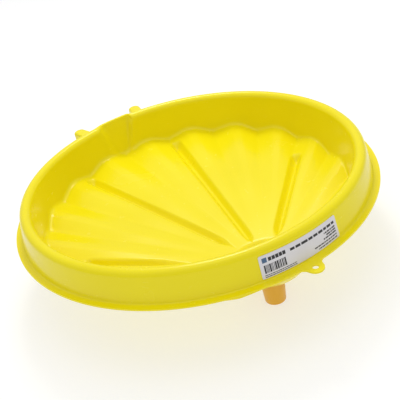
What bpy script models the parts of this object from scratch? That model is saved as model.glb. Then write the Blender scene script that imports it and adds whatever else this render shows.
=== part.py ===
"""Drum funnel: a wide, shallow, thermoformed pan whose pleated floor falls to an off-centre drain spout.

Origin on the pan's axis, level with the spout's lower end. +Z is up, the drain and the front tab are
towards -Y, and the two rear lugs are towards +Y. All lengths are in metres. The heights below are
measured from the flange's upper face, and an empty on the pan's axis lifts every piece by FLANGE_HEIGHT.
"""

import math

import bmesh
import bpy
from mathutils import Matrix, Vector

# Pan: driving dimensions.
FLANGE_RADIUS = 0.3365
SHEET = 0.003
SKIRT_FOOT_RADIUS = 0.3247
SKIRT_DRAFT = math.radians(10.2)
CREST_HEIGHT = 0.0528
CREST_ROLL = 0.0110
WALL_DRAFT = math.radians(6.5)
FOOT_FILLET = 0.0025

# Pleated floor: its edge on the wall rises and falls in pleats, lowest at the front.
PLEATS = 18
PLEAT_SWING = 0.0065
PLEAT_CREST_SHARE = 0.2
PLEAT_FADE = 2.5
EDGE_MEAN = -0.0288
EDGE_TILT = 0.0100
EDGE_SAG = -0.0011
FRONT_DIP = -0.005
FRONT_PLEAT_LOSS = 0.75

# Drain, 215 mm off the pan's axis, as the large bung of a drum head is.
DRAIN_OFFSET = 0.215
SUMP_RADIUS = 0.063
SUMP_EDGE_HEIGHT = -0.056
SEAT_RADIUS = 0.056
SEAT_HEIGHT = -0.064
DRAIN_HOLE_RADIUS = 0.0225

# Grooves pressed into the floor, which lead to the drain and stiffen the sheet:
# (angle from straight back, inner end, outer end), seen from the drain.
GROOVES = (
    (math.radians(13.0), 0.084, 0.480),
    (math.radians(-12.2), 0.068, 0.470),
    (math.radians(48.2), 0.138, 0.324),
    (math.radians(-48.2), 0.076, 0.320),
)
GROOVE_WIDTH = 0.024
GROOVE_DEPTH = 0.0100
GROOVE_SIDE = 0.85
GROOVE_WALL_SPREAD = 1.3
GROOVE_RAMP = 0.018
GROOVE_STATIONS = 9

# Notch in the rear of the inner wall.
NOTCH_HALF_TOP = 0.038
NOTCH_HALF_BOTTOM = 0.015
NOTCH_ROLL = 0.0038
NOTCH_DEPTH_BOTTOM = 0.006

# Two hollow lugs on the rear of the skirt.
LUG_SPACING = 0.1354
LUG_CENTRE_RADIUS = 0.3485
LUG_RADIUS = 0.0125
LUG_HEIGHT = 0.0446
LUG_BEVEL = 0.004
LUG_INNER_RADIUS = 0.3135
LUG_HOLLOW_RADIUS = 0.306
LUG_FLANGE_RADIUS = 0.017
LUG_FILLET = 0.008

# Front tab.
TAB_CENTRE_RADIUS = 0.345
TAB_RADIUS = 0.014
TAB_FILLET = 0.012
TAB_HOLE_RADIUS = 0.0052

# Drain fitting.
GAP = 0.0003
GASKET_THICKNESS = 0.002
GASKET_OUTER_RADIUS = 0.031
SPOUT_FLANGE_RADIUS = 0.031
SPOUT_FLANGE = 0.003
SPOUT_THREAD_RADIUS = 0.0219
SPOUT_THREAD_END = -0.082
SPOUT_END = -0.137
FLANGE_HEIGHT = -SPOUT_END
SPOUT_END_RADIUS = 0.0182
SPOUT_TAPER = math.radians(4.0)
SPOUT_EDGE = 0.002
SPOUT_WALL = 0.0028
SPOUT_FLANGE_CHAMFER = 0.001
SPOUT_THREAD_RUNOUT = 0.001
SPOUT_SHOULDER = 0.0008
SPOUT_BORE_STEP = 0.0025
SPOUT_BORE_CHAMFER = 0.0018
NUT_HEIGHT = 0.010
NUT_ACROSS_FLATS = 0.058
NUT_BORE_RADIUS = 0.0223
NUT_CORNER_ROUND = 0.003
NUT_CHAMFER = 0.0012

# Lift-out strainer.
STRAINER_RADIUS = 0.0285
STRAINER_PLATE = 0.0022
STRAINER_SKIRT_RADIUS = 0.0158
STRAINER_SKIRT_WALL = 0.002
STRAINER_SKIRT_DROP = 0.012
STRAINER_HOLE_RADIUS = 0.0021
STRAINER_HOLE_RINGS = ((0.0072, 6), (0.0121, 10))
STRAINER_SLOT_RADIUS = 0.0215
STRAINER_SLOT_LENGTH = 0.006
STRAINER_SLOT_HALF_WIDTH = 0.0012
STRAINER_SLOTS = 12
STRAINER_EDGE = 0.0008
STRAINER_SKIRT_TAPER = 0.0006
KNOB_RADIUS = 0.0042
KNOB_HEIGHT = 0.016
KNOB_CROWN = 0.0015
KNOB_HEAD = 0.005
KNOB_NECK_RADIUS = 0.0027

# Label: 6 by 1.5 inches on the skirt.
LABEL_LENGTH = 0.1524
LABEL_HEIGHT = 0.0381
LABEL_LOW = 0.0032
LABEL_THICKNESS = 0.0004
LABEL_MIDDLE = math.radians(-90.2)

# Mesh resolution.
COLUMNS = 90
ROLL_STEPS = 4
FLOOR_SHARES = (0.09, 0.20, 0.34, 0.52, 0.75, 1.0)
TURN_STEPS = 32
LABEL_COLUMNS = 24

PAN_AXIS = "pan_axis"
REAR = math.radians(90)
DRAIN = Vector((0, -DRAIN_OFFSET, 0))
LUG_TURN = math.asin(LUG_SPACING / 2 / LUG_CENTRE_RADIUS)
LUG_ANGLES = (REAR - LUG_TURN, REAR + LUG_TURN)

# Rounded lobes on the flange's outline: (angle, centre radius, lobe radius, fillet).
LOBES = (
    (-REAR, TAB_CENTRE_RADIUS, TAB_RADIUS, TAB_FILLET),
    (LUG_ANGLES[0], LUG_CENTRE_RADIUS, LUG_FLANGE_RADIUS, LUG_FILLET),
    (LUG_ANGLES[1], LUG_CENTRE_RADIUS, LUG_FLANGE_RADIUS, LUG_FILLET),
)


def polar(radius, angle, height=0.0):
    return Vector((radius * math.cos(angle), radius * math.sin(angle), height))


def plastic(name, colour, roughness, metallic=0.0):
    material = bpy.data.materials.new(name)
    material.use_nodes = True
    shader = material.node_tree.nodes["Principled BSDF"]
    shader.inputs["Base Color"].default_value = (*colour, 1)
    shader.inputs["Roughness"].default_value = roughness
    shader.inputs["Metallic"].default_value = metallic
    material.diffuse_color = (*colour, 1)
    return material


def add_object(name, bm, material=None):
    mesh = bpy.data.meshes.new(name)
    bm.to_mesh(mesh)
    bm.free()
    obj = bpy.data.objects.new(name, mesh)
    obj.parent = bpy.data.objects[PAN_AXIS]
    bpy.context.scene.collection.objects.link(obj)
    if material:
        mesh.materials.append(material)
        mesh.shade_smooth()
        mesh.set_sharp_from_angle(angle=math.radians(35))
    return obj


def add_helper(name, bm):
    """A closed solid that only a Boolean uses."""
    helper = add_object(name, bm)
    helper.hide_render = True
    helper.display_type = "WIRE"
    return helper


def add_boolean(obj, other, operation):
    modifier = obj.modifiers.new(f"{operation.lower()}_{other.name}", "BOOLEAN")
    modifier.operation = operation
    modifier.object = other
    modifier.solver = "EXACT"


def add_bevel(bm, edges, width, segments):
    bmesh.ops.bevel(bm, geom=edges, offset=width, segments=segments, affect="EDGES", profile=0.5)


def extruded(outline, low, high):
    """A bmesh prism on a counter-clockwise outline of (x, y) points."""
    bm = bmesh.new()
    floor = bm.faces.new([bm.verts.new((x, y, low)) for x, y in outline])
    walls = bmesh.ops.extrude_face_region(bm, geom=[floor])
    raised = [item for item in walls["geom"] if isinstance(item, bmesh.types.BMVert)]
    bmesh.ops.translate(bm, vec=(0, 0, high - low), verts=raised)
    bmesh.ops.recalc_face_normals(bm, faces=bm.faces[:])
    return bm


def edges_at(bm, height):
    return [edge for edge in bm.edges if all(abs(v.co.z - height) < 1e-6 for v in edge.verts)]


def arc(centre, radius, start, end, steps):
    """Points of an arc as (x, y), from angle start to angle end."""
    angles = [start + (end - start) * step / steps for step in range(steps + 1)]
    return [(centre[0] + radius * math.cos(a), centre[1] + radius * math.sin(a)) for a in angles]


def circle(centre, radius, steps):
    """Points of a whole circle as (x, y)."""
    return arc(centre, radius, 0, math.tau * (steps - 1) / steps, steps - 1)


def stadium(start, end, half_width, steps):
    """Outline of a slot along X, round at both ends."""
    quarter = math.pi / 2
    return arc((end, 0), half_width, -quarter, quarter, steps) + arc(
        (start, 0), half_width, quarter, 3 * quarter, steps
    )


# The pan.


def from_rear(angle):
    """Angle from the rear, from -180 to 180 degrees, in radians."""
    return math.remainder(angle - REAR, math.tau)


def pleat_wave(angle):
    """-1 in a pleat's valley, +1 on its narrow flat crest, straight between them."""
    phase = abs(math.remainder(from_rear(angle) * PLEATS / math.tau, 1.0)) * 2
    return 2 * min(1.0, phase / (1.0 - PLEAT_CREST_SHARE)) - 1


def frontness(angle):
    """1 at the front, falling to 0 at the sides."""
    return max(0.0, -math.cos(from_rear(angle))) ** 4


def edge_level(angle):
    """Mean height of the floor's edge on the inner wall."""
    turn = from_rear(angle)
    level = EDGE_MEAN + EDGE_TILT * math.cos(turn) + EDGE_SAG * math.cos(2 * turn)
    return level + FRONT_DIP * frontness(angle) ** 2


def pleat_height(angle):
    """How far a pleat stands above or below the mean height at the wall. The front ones are shallow."""
    return PLEAT_SWING * pleat_wave(angle) * (1 - FRONT_PLEAT_LOSS * frontness(angle))


def edge_height(angle):
    """Height of the floor's edge, where it meets the inner wall."""
    return edge_level(angle) + pleat_height(angle)


def floor_height(angle, share):
    """Height of the floor at a share of the way from the wall to the sump. The pleats fade quickly."""
    left = 1 - share
    level = SUMP_EDGE_HEIGHT + (edge_level(angle) - SUMP_EDGE_HEIGHT) * left
    return level + pleat_height(angle) * left**PLEAT_FADE


def notch_share(angle, height, radius):
    """1 inside the rear notch and 0 outside it. The notch narrows downwards."""
    share = min(1.0, max(0.0, (height - edge_height(REAR)) / (CREST_HEIGHT - edge_height(REAR))))
    half_width = NOTCH_HALF_BOTTOM + (NOTCH_HALF_TOP - NOTCH_HALF_BOTTOM) * share
    return 1.0 if abs(radius * math.sin(from_rear(angle))) < half_width else 0.0


def crest_roll(angle):
    """(centre radius, centre height, roll radius) of the crest, which is tangent to the skirt."""
    notched = abs(from_rear(angle)) < NOTCH_HALF_TOP / FLANGE_RADIUS
    roll = NOTCH_ROLL if notched else CREST_ROLL
    height = CREST_HEIGHT - roll
    radius = SKIRT_FOOT_RADIUS - height * math.tan(SKIRT_DRAFT) - roll / math.cos(SKIRT_DRAFT)
    return radius, height, roll


def wall_radius(height):
    """Radius of the plain inner wall at a height."""
    centre, centre_height, roll = crest_roll(-REAR)
    return centre - roll / math.cos(WALL_DRAFT) - (centre_height - height) * math.tan(WALL_DRAFT)


def lobe_turns(reach, lobe, fillet):
    """Angles from a lobe's middle at which its fillet meets the lobe, and the round flange."""
    to_fillet = FLANGE_RADIUS + fillet
    span = math.acos(
        (to_fillet**2 + reach**2 - (lobe + fillet) ** 2) / (2 * to_fillet * reach)
    )
    lean = math.atan2(to_fillet * math.sin(span), to_fillet * math.cos(span) - reach)
    return math.atan2(lobe * math.sin(lean), reach + lobe * math.cos(lean)), span


def flange_radius(angle):
    """Radius of the flange's outline: round, with a lobe at the tab and at each lug."""
    for middle, reach, lobe, fillet in LOBES:
        turn = abs(math.remainder(angle - middle, math.tau))
        on_lobe, span = lobe_turns(reach, lobe, fillet)
        if turn <= on_lobe:
            return reach * math.cos(turn) + math.sqrt(lobe**2 - (reach * math.sin(turn)) ** 2)
        if turn < span:
            to_fillet = FLANGE_RADIUS + fillet
            offset = to_fillet * math.sin(span - turn)
            return to_fillet * math.cos(span - turn) - math.sqrt(fillet**2 - offset**2)
    return FLANGE_RADIUS


def outline_angles():
    """Angles, beside those of the columns, at which the lobes' outlines need a point."""
    angles = []
    for middle, reach, lobe, fillet in LOBES:
        on_lobe, span = lobe_turns(reach, lobe, fillet)
        turns = [on_lobe * share for share in (0.35, 0.65, 0.88, 1.0)]
        turns += [on_lobe + (span - on_lobe) * share for share in (0.15, 0.35, 0.65, 1.0)]
        angles += [middle] + [middle + side * turn for turn in turns for side in (-1, 1)]
    return angles


def pan_section(angle):
    """The sheet's upper face along one column, from the flange's edge to the drain hole."""
    centre, centre_height, roll = crest_roll(angle)
    points = [
        polar(flange_radius(angle), angle),
        polar(SKIRT_FOOT_RADIUS + FOOT_FILLET, angle),
        polar(SKIRT_FOOT_RADIUS - FOOT_FILLET * math.tan(SKIRT_DRAFT), angle, FOOT_FILLET),
    ]
    sweep = math.pi - SKIRT_DRAFT - WALL_DRAFT
    for step in range(ROLL_STEPS + 1):
        lean = SKIRT_DRAFT + sweep * step / ROLL_STEPS
        points.append(
            polar(centre + roll * math.cos(lean), angle, centre_height + roll * math.sin(lean))
        )
    edge = edge_height(angle)
    recess = NOTCH_DEPTH_BOTTOM * notch_share(angle, edge, wall_radius(edge))
    corner = polar(wall_radius(edge) + recess, angle, edge)
    points.append(corner)
    outward = Vector((corner.x - DRAIN.x, corner.y - DRAIN.y, 0)).normalized()
    sump_edge = DRAIN + outward * SUMP_RADIUS
    for share in FLOOR_SHARES:
        point = corner.lerp(sump_edge, share)
        point.z = floor_height(angle, share)
        points.append(point)
    points.append(DRAIN + outward * SEAT_RADIUS + Vector((0, 0, SEAT_HEIGHT)))
    points.append(DRAIN + outward * DRAIN_HOLE_RADIUS + Vector((0, 0, SEAT_HEIGHT)))
    return points


def pan_sheet():
    """The pan's upper face: columns round the pan, rows from flange to drain."""
    bm = bmesh.new()
    step = math.tau / COLUMNS
    columns = [
        [bm.verts.new(point) for point in pan_section(REAR + step * column)]
        for column in range(COLUMNS)
    ]
    extra = {}
    for angle in outline_angles():
        column = math.floor((angle - REAR) / step) % COLUMNS
        extra.setdefault(column, []).append(((angle - REAR) % step, angle))
    for index, this in enumerate(columns):
        following = columns[(index + 1) % COLUMNS]
        between = [
            bm.verts.new(polar(flange_radius(angle), angle))
            for _, angle in sorted(extra.get(index, []))
        ]
        bm.faces.new([this[0], *between, following[0], following[1], this[1]])
        for row in range(1, len(this) - 1):
            bm.faces.new((this[row], following[row], following[row + 1], this[row + 1]))
    return bm


def floor_line(heading):
    """(reach from the drain to the wall, the wall's angle there) along a heading from the drain."""
    reach = FLANGE_RADIUS
    for _ in range(20):
        point = DRAIN + polar(reach, heading)
        angle = math.atan2(point.y, point.x)
        across = DRAIN_OFFSET * math.sin(heading)
        reach = across + math.sqrt(across**2 + wall_radius(edge_height(angle)) ** 2 - DRAIN_OFFSET**2)
    return reach, angle


def on_floor(distance, across, heading, lift):
    """A point at a height over the floor: distance from the drain along a heading, and across it."""
    place = Matrix.Rotation(heading, 3, "Z") @ Vector((distance, across, 0))
    reach, angle = floor_line(math.atan2(place.y, place.x))
    share = (reach - place.length) / (reach - SUMP_RADIUS)
    return DRAIN + place + Vector((0, 0, floor_height(angle, share) + lift))


def groove_solid(groove, wall, top, least):
    """The hollow of a groove when wall is 0, or the form round it with a wall of the sheet's thickness."""
    turn, start, end = groove
    bm = bmesh.new()
    sections = []
    for station in range(GROOVE_STATIONS + 1):
        distance = start + (end - start) * station / GROOVE_STATIONS
        if station == 1:
            distance = start + GROOVE_RAMP
        if station == GROOVE_STATIONS - 1:
            distance = end - GROOVE_RAMP
        inside = 0 < station < GROOVE_STATIONS
        low = -(GROOVE_DEPTH + wall) if inside else -least
        section = []
        for lift, side in ((low, -1), (low, 1), (top, 1), (top, -1)):
            half = GROOVE_WIDTH / 2 + GROOVE_WALL_SPREAD * wall + GROOVE_SIDE * lift
            section.append(bm.verts.new(on_floor(distance, side * half, REAR + turn, lift)))
        sections.append(section)
    for this, following in zip(sections, sections[1:]):
        for corner in range(4):
            after = (corner + 1) % 4
            bm.faces.new((this[corner], this[after], following[after], following[corner]))
    bm.faces.new(sections[0])
    bm.faces.new(sections[-1])
    bmesh.ops.recalc_face_normals(bm, faces=bm.faces[:])
    return bm


def gather(parts):
    """Several separate bmeshes as one."""
    whole = bmesh.new()
    for part in parts:
        mesh = bpy.data.meshes.new("gathered")
        part.to_mesh(mesh)
        part.free()
        whole.from_mesh(mesh)
        bpy.data.meshes.remove(mesh)
    return whole


def all_grooves(wall, top, least):
    return gather([groove_solid(groove, wall, top, least) for groove in GROOVES])


def lug_solid(angle, inset, inner, low, high, bevel):
    """A lug between two heights: half-round, drawn straight out of the skirt."""
    half_width = LUG_RADIUS - inset
    quarter = math.pi / 2
    outline = arc((LUG_CENTRE_RADIUS, 0), half_width, -quarter, quarter, 8)
    bm = extruded(outline + [(inner, half_width), (inner, -half_width)], low, high)
    if bevel:
        add_bevel(bm, edges_at(bm, high), bevel, 2)
    bmesh.ops.rotate(bm, matrix=Matrix.Rotation(angle, 3, "Z"), verts=bm.verts[:])
    return bm


def lugs(inset, inner, low, high, bevel=0.0):
    return gather([lug_solid(angle, inset, inner, low, high, bevel) for angle in LUG_ANGLES])


def build_pan(material):
    pan = add_object("funnel_pan", pan_sheet(), material)
    thickness = pan.modifiers.new("sheet", "SOLIDIFY")
    thickness.thickness = SHEET
    thickness.offset = -1
    thickness.use_even_offset = True

    forms = all_grooves(SHEET, -SHEET / 2, SHEET * 3 / 4)
    add_boolean(pan, add_helper("groove_forms", forms), "UNION")
    hollows = all_grooves(0, 3 * SHEET, -SHEET / 2)
    add_boolean(pan, add_helper("groove_hollows", hollows), "DIFFERENCE")

    forms = lugs(0, LUG_INNER_RADIUS, -SHEET / 3, LUG_HEIGHT, LUG_BEVEL)
    add_boolean(pan, add_helper("lug_forms", forms), "UNION")
    hollows = lugs(SHEET, LUG_HOLLOW_RADIUS, -3 * SHEET, LUG_HEIGHT - SHEET)
    add_boolean(pan, add_helper("lug_hollows", hollows), "DIFFERENCE")
    hole = extruded(circle((0, -TAB_CENTRE_RADIUS), TAB_HOLE_RADIUS, 16), -3 * SHEET, 3 * SHEET)
    add_boolean(pan, add_helper("tab_hole", hole), "DIFFERENCE")
    return pan


# The drain fitting.


def turned(name, profile, material, place, closed=True):
    """A (radius, height) profile turned about a vertical axis through place. An open one ends on the axis."""
    bm = bmesh.new()
    ring = [bm.verts.new((radius, 0, height)) for radius, height in profile]
    for this, following in zip(ring, ring[1:] + (ring[:1] if closed else [])):
        bm.edges.new((this, following))
    obj = add_object(name, bm, material)
    obj.location = place
    screw = obj.modifiers.new("turn", "SCREW")
    screw.steps = TURN_STEPS
    screw.render_steps = TURN_STEPS
    screw.use_merge_vertices = True
    screw.merge_threshold = 0.00001
    screw.use_smooth_shade = True
    return obj


def build_gasket(material):
    low = SEAT_HEIGHT + GAP
    high = low + GASKET_THICKNESS
    inner = DRAIN_HOLE_RADIUS
    outer = GASKET_OUTER_RADIUS
    profile = [(inner, high), (outer, high), (outer, low), (inner, low)]
    return turned("spout_gasket", profile, material, DRAIN)


def spout_flange_low():
    return SEAT_HEIGHT + GASKET_THICKNESS + 2 * GAP


def build_spout(material):
    low = spout_flange_low()
    high = low + SPOUT_FLANGE
    root = SPOUT_END_RADIUS + (SPOUT_THREAD_END - SPOUT_END) * math.tan(SPOUT_TAPER)
    bore = root - SPOUT_WALL - SPOUT_BORE_STEP
    profile = [
        (SPOUT_FLANGE_RADIUS - SPOUT_FLANGE_CHAMFER, high),
        (SPOUT_FLANGE_RADIUS, high - SPOUT_FLANGE_CHAMFER),
        (SPOUT_FLANGE_RADIUS, low),
        (SPOUT_THREAD_RADIUS, low),
        (SPOUT_THREAD_RADIUS, SPOUT_THREAD_END + SPOUT_THREAD_RUNOUT),
        (root - SPOUT_SHOULDER, SPOUT_THREAD_END),
        (SPOUT_END_RADIUS, SPOUT_END + SPOUT_EDGE),
        (SPOUT_END_RADIUS - SPOUT_EDGE * (1 - math.sqrt(0.5)), SPOUT_END + SPOUT_EDGE * (1 - math.sqrt(0.5))),
        (SPOUT_END_RADIUS - SPOUT_EDGE, SPOUT_END),
        (SPOUT_END_RADIUS - SPOUT_WALL, SPOUT_END),
        (bore, SPOUT_THREAD_END),
        (bore, high - SPOUT_BORE_CHAMFER),
        (bore + SPOUT_BORE_CHAMFER, high),
    ]
    return turned("drain_spout", profile, material, DRAIN)


def build_locknut(material):
    high = SEAT_HEIGHT - SHEET - GAP
    low = high - NUT_HEIGHT
    corner = NUT_ACROSS_FLATS / 2 / math.cos(math.pi / 6)
    bm = extruded([tuple(polar(corner, math.tau * side / 6).xy) for side in range(6)], low, high)
    uprights = [edge for edge in bm.edges if abs(edge.verts[0].co.z - edge.verts[1].co.z) > NUT_HEIGHT / 2]
    add_bevel(bm, uprights, NUT_CORNER_ROUND, 2)
    add_bevel(bm, edges_at(bm, low), NUT_CHAMFER, 1)
    nut = add_object("spout_locknut", bm, material)
    nut.location = DRAIN
    bore = extruded(circle((0, 0), NUT_BORE_RADIUS, TURN_STEPS), low - NUT_HEIGHT, high + NUT_HEIGHT)
    cutter = add_helper("nut_bore", bore)
    cutter.location = DRAIN
    add_boolean(nut, cutter, "DIFFERENCE")
    return nut


def strainer_holes(low, high):
    holes = []
    for radius, count in STRAINER_HOLE_RINGS:
        for index in range(count):
            middle = polar(radius, math.tau * index / count)
            holes.append(extruded(circle(middle, STRAINER_HOLE_RADIUS, 8), low, high))
    for index in range(STRAINER_SLOTS):
        start = STRAINER_SLOT_RADIUS - STRAINER_SLOT_LENGTH / 2
        outline = stadium(start, start + STRAINER_SLOT_LENGTH, STRAINER_SLOT_HALF_WIDTH, 3)
        slot = extruded(outline, low, high)
        turn = math.tau * (index + 0.5) / STRAINER_SLOTS
        bmesh.ops.rotate(slot, matrix=Matrix.Rotation(turn, 3, "Z"), verts=slot.verts[:])
        holes.append(slot)
    return gather(holes)


def build_strainer(material):
    low = spout_flange_low() + SPOUT_FLANGE + GAP
    high = low + STRAINER_PLATE
    top = high + KNOB_HEIGHT
    skirt = STRAINER_SKIRT_RADIUS
    profile = [
        (0, top),
        (KNOB_RADIUS, top - KNOB_CROWN),
        (KNOB_RADIUS, top - KNOB_HEAD),
        (KNOB_NECK_RADIUS, top - KNOB_HEAD - KNOB_CROWN),
        (KNOB_NECK_RADIUS, high),
        (STRAINER_RADIUS - STRAINER_EDGE, high),
        (STRAINER_RADIUS, high - STRAINER_EDGE),
        (STRAINER_RADIUS, low),
        (skirt, low),
        (skirt - STRAINER_SKIRT_TAPER, low - STRAINER_SKIRT_DROP),
        (skirt - STRAINER_SKIRT_WALL, low - STRAINER_SKIRT_DROP),
        (skirt - STRAINER_SKIRT_WALL, low),
        (0, low),
    ]
    strainer = turned("debris_strainer", profile, material, DRAIN, closed=False)
    holes = strainer_holes(low - STRAINER_PLATE, high + STRAINER_PLATE)
    cutter = add_helper("strainer_holes", holes)
    cutter.location = DRAIN
    add_boolean(strainer, cutter, "DIFFERENCE")
    return strainer


# The label.


def build_label(material):
    """A thin sheet wrapped on the conical skirt."""
    span = LABEL_LENGTH / SKIRT_FOOT_RADIUS
    bm = bmesh.new()
    rings = []
    for column in range(LABEL_COLUMNS + 1):
        angle = LABEL_MIDDLE + span * (column / LABEL_COLUMNS - 0.5)
        ring = []
        for height, lift in ((0, 0), (0, 1), (LABEL_HEIGHT, 1), (LABEL_HEIGHT, 0)):
            level = LABEL_LOW + GAP + height * math.cos(SKIRT_DRAFT)
            radius = SKIRT_FOOT_RADIUS - level * math.tan(SKIRT_DRAFT) + GAP + lift * LABEL_THICKNESS
            ring.append(bm.verts.new(polar(radius, angle, level)))
        rings.append(ring)
    for this, following in zip(rings, rings[1:]):
        for side in range(4):
            after = (side + 1) % 4
            bm.faces.new((this[side], this[after], following[after], following[side]))
    bm.faces.new(rings[0])
    bm.faces.new(rings[-1])
    bmesh.ops.recalc_face_normals(bm, faces=bm.faces[:])
    return add_object("label", bm, material)


def main():
    for obj in list(bpy.data.objects):
        bpy.data.objects.remove(obj)
    axis = bpy.data.objects.new(PAN_AXIS, None)
    axis.location.z = FLANGE_HEIGHT
    bpy.context.scene.collection.objects.link(axis)
    yellow = plastic("yellow_polyethylene", (0.86, 0.76, 0.02), 0.28)
    amber = plastic("amber_polyethylene", (0.60, 0.34, 0.04), 0.35)
    black_rubber = plastic("black_rubber", (0.03, 0.03, 0.03), 0.7)
    black_nylon = plastic("black_nylon", (0.04, 0.04, 0.045), 0.45)
    printed = plastic("printed_label", (0.78, 0.76, 0.79), 0.4)
    build_pan(yellow)
    build_spout(amber)
    build_gasket(black_rubber)
    build_locknut(amber)
    build_strainer(black_nylon)
    build_label(printed)


main()
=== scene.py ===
"""Looks of the drum funnel: a yellow pan with a spout whose darker amber is painted shade, a strainer
and a printed label.

Places come from the frame's boxes. The sheet's shape follows the same rules as the frame's: a flange,
a skirt, a rolled crest, an inner wall, and a pleated, grooved floor that falls to the drain.
"""

import math
import random

import bmesh
import bpy
import numpy as np
from mathutils import Matrix, Vector


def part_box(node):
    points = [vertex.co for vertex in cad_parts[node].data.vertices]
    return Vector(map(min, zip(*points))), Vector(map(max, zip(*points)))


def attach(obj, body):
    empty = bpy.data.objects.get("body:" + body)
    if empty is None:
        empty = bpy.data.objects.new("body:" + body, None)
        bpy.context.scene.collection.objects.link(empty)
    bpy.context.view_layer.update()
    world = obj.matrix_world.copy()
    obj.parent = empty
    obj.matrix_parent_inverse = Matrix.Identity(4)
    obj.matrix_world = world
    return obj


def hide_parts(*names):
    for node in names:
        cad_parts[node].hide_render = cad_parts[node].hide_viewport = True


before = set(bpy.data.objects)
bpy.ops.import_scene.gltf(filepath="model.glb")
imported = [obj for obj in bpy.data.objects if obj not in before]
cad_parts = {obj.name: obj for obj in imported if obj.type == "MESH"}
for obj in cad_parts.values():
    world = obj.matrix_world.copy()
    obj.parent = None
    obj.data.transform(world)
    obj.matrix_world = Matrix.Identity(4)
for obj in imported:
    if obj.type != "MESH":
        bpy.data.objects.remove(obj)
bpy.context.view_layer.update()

# Places are in metres, from the pan's axis and from the flange's upper face.
CREST_HEIGHT = 0.0528
LIFT = Vector((0, 0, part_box("funnel_pan")[1].z - CREST_HEIGHT))


def frame_box(node):
    """A node's lowest and highest corners, from the pan's axis and the flange's upper face."""
    return [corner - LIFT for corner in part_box(node)]


pan_low, pan_high = frame_box("funnel_pan")
spout_low, spout_high = frame_box("drain_spout")
gasket_low, gasket_high = frame_box("spout_gasket")
nut_low, nut_high = frame_box("spout_locknut")
strainer_low, strainer_high = frame_box("debris_strainer")
label_low, label_high = frame_box("label")

# The pan's outline and section. Turns round the pan are measured from its rear. The frame's flange
# is a polygon of FRAME_COLUMNS sides.
GAP = 0.0003
FRAME_COLUMNS = 90
FLANGE_RADIUS = pan_high.x / math.cos(math.pi / FRAME_COLUMNS)
SHEET = 0.003
CREST_ROLL = 0.0110
SKIRT_FOOT_RADIUS = 0.965 * FLANGE_RADIUS
SKIRT_DRAFT = math.radians(10.2)
WALL_DRAFT = math.radians(6.5)
FOOT_FILLET = 0.0030
EDGE_FILLET = 0.0080

PLEATS = 18
PLEAT_SWING = 0.0065
PLEAT_FADE = 2.5
PLEAT_CREST_SHARE = 0.2
PLEAT_ROUNDING = 0.035
EDGE_MEAN = -0.0288
EDGE_TILT = 0.0100
EDGE_SAG = -0.0011
FRONT_DIP = -0.005
FRONT_PLEAT_LOSS = 0.75

DRAIN = Vector(((spout_low.x + spout_high.x) / 2, (spout_low.y + spout_high.y) / 2, 0))
SUMP_RADIUS = 0.063
SUMP_EDGE_HEIGHT = -0.056
SEAT_RADIUS = 0.056
SEAT_HEIGHT = gasket_low.z - GAP
DRAIN_HOLE_RADIUS = 0.0225
SUMP_ROUNDING_START = 0.985
SEAT_ROUNDING = 0.004
DRAIN_HOLE_EDGE = 0.0008

# Grooves in the floor: (angle from straight back, inner end, outer end, run-out), seen from the drain.
GROOVES = (
    (math.radians(13.0), 0.084, 0.482, 0.030),
    (math.radians(-12.2), 0.066, 0.472, 0.020),
    (math.radians(48.2), 0.136, 0.326, 0.060),
    (math.radians(-48.2), 0.072, 0.321, 0.020),
)
GROOVE_INNER_HALF_WIDTH = 0.0100
GROOVE_OUTER_HALF_WIDTH = 0.0132
# A groove's section: its depth, and its rounded rim and bottom, as shares of its half width.
GROOVE_SLOPE = 0.96
GROOVE_RIM = 0.20
GROOVE_BOTTOM = 0.35

# The notch in the rear of the crest.
NOTCH_HALF_TOP = 0.038
NOTCH_HALF_BOTTOM = 0.015
NOTCH_ROLL = 0.0036
NOTCH_DEPTH_BOTTOM = 0.006
NOTCH_RIGHT_EDGE = 0.005
NOTCH_LEFT_EDGE = 0.024

# Lugs behind the skirt, and the tab in front.
LUG_SPACING = 0.1354
LUG_CENTRE_RADIUS = 0.3485
LUG_HALF_WIDTH = 0.0125
LUG_HEIGHT = 0.0446
LUG_ROUND = 0.0045
LUG_FILLET = 0.005
LUG_FLANGE_HALF_WIDTH = 0.017
LUG_FLANGE_FILLET = 0.008
TAB_HALF_WIDTH = 0.014
TAB_CENTRE_RADIUS = -pan_low.y - TAB_HALF_WIDTH
TAB_FILLET = 0.012
TAB_HOLE_RADIUS = 0.0052
TAB_CUT_REACH = 0.02

# Rows of the pan's sheet: heights on the skirt, leans on the lugs' rounded edge, shares of the wall.
SKIRT_HEIGHTS = (0.010, 0.020, 0.030)
LUG_EDGE_LEANS = (0, 22, 44, 64, 80, 90)
LUG_SEAM = 1e-6
CREST_STEPS = 14
WALL_SHARES = (0.12, 0.27, 0.42, 0.58, 0.74, 0.88)

# Columns of the sheet, in degrees: (centre, reach either side, step), and the step elsewhere.
FRONT_ZONES = ((180, 3.2, 0.40), (180, 6.0, 0.8))
NOTCH_ZONE = (0, 8.0, 0.6)
LUG_ZONE = (3.4, 0.40)
LUG_FLANKS = (-2.05, -1.45, 1.45, 2.05)
LUG_FLANK_ZONE = (0.30, 0.08)
GROOVE_ZONES = ((22.0, 2.8, 0.34), (21.0, 6.5, 0.65), (82.5, 3.2, 0.42), (81.0, 6.5, 0.75))
PLEAT_TURN = 360 // PLEATS
PLEAT_CORNERS = (0, 8, 12)
PLEAT_ZONE = (0.9, 0.7)
PLAIN_COLUMN_STEP = 1.25

# Rows of the floor, as shares of the way to the sump: (start, end, step), and the step elsewhere.
FINE_FLOOR = ((0.0, 0.10, 0.0085), (0.14, 0.24, 0.0115), (0.88, 1.0, 0.025))
PLAIN_FLOOR_STEP = 0.05

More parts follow.
